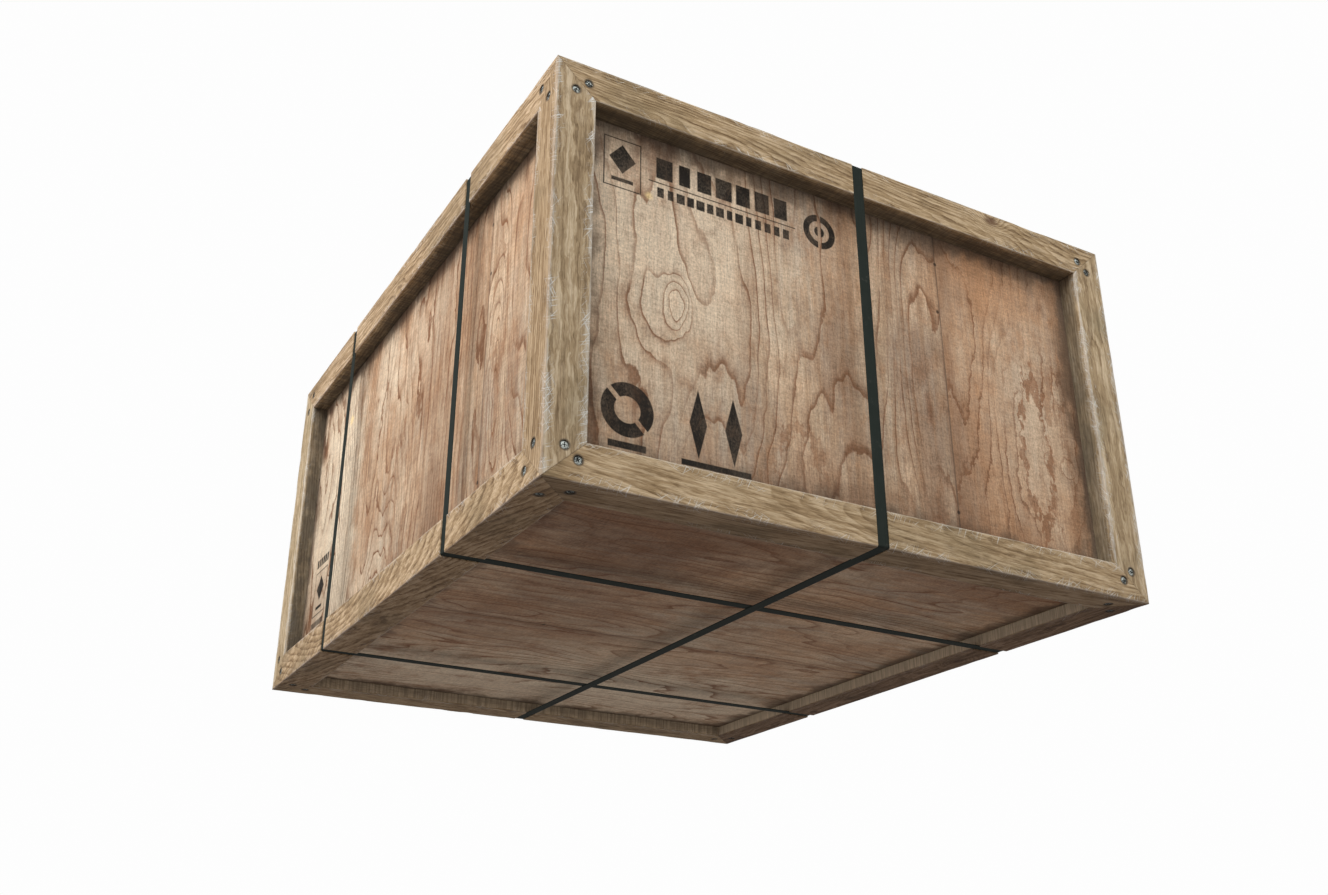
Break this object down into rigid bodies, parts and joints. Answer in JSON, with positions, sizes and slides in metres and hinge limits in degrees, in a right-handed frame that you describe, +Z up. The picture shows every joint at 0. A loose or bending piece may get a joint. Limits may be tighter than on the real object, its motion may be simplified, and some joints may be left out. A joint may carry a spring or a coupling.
{
  "type": "shipping crate",
  "caption": "Low rectangular timber shipping crate: mitred bar frame, recessed plywood panels, corner screws, plastic straps and a lift-off lid.",
  "frame": {"origin": "centre of the crate's footprint, on the plane that the base stands on", "axes": "+Z up; X runs from side to side with +X to the right as seen from the front; the front faces -Y and Y is the long side"},
  "size_m": [1.012, 1.198, 0.62],
  "materials": {
    "frame_timber": "rough sawn and worn, light scuffs along the edges",
    "plywood": "unfinished flame-grained veneer, water stains",
    "strap_plastic": "dark green, finely embossed, satin",
    "screw_steel": "dull zinc, grimy",
    "seal_steel": "galvanised strip, crimped"
  },
  "bodies": {
    "crate": {"front_base_rail": "frame_timber", "back_base_rail": "frame_timber", "left_base_rail": "frame_timber", "right_base_rail": "frame_timber", "front_left_post": "frame_timber", "front_right_post": "frame_timber", "back_left_post": "frame_timber", "back_right_post": "frame_timber", "floor_panel": "plywood", "front_panel": "plywood", "back_panel": "plywood", "left_panel": "plywood", "right_panel": "plywood", "base_front_back_screws": "screw_steel", "base_side_screws": "screw_steel", "base_underside_screws": "screw_steel", "post_head_screws": "screw_steel", "centre_strap_lower": "strap_plastic", "front_strap_lower": "strap_plastic", "back_strap_lower": "strap_plastic"},
    "lid": {"front_lid_rail": "frame_timber", "back_lid_rail": "frame_timber", "left_lid_rail": "frame_timber", "right_lid_rail": "frame_timber", "lid_panel": "plywood", "lid_front_back_screws": "screw_steel", "lid_side_screws": "screw_steel", "lid_hold_down_screws": "screw_steel", "centre_strap_upper": "strap_plastic", "front_strap_upper": "strap_plastic", "back_strap_upper": "strap_plastic", "strap_seals": "seal_steel"}
  },
  "joints": [
    {"name": "lid_lift", "type": "slide", "parent": "crate", "child": "lid", "axis": [0, 0, 1], "range_m": [0, 0.6]}
  ]
}
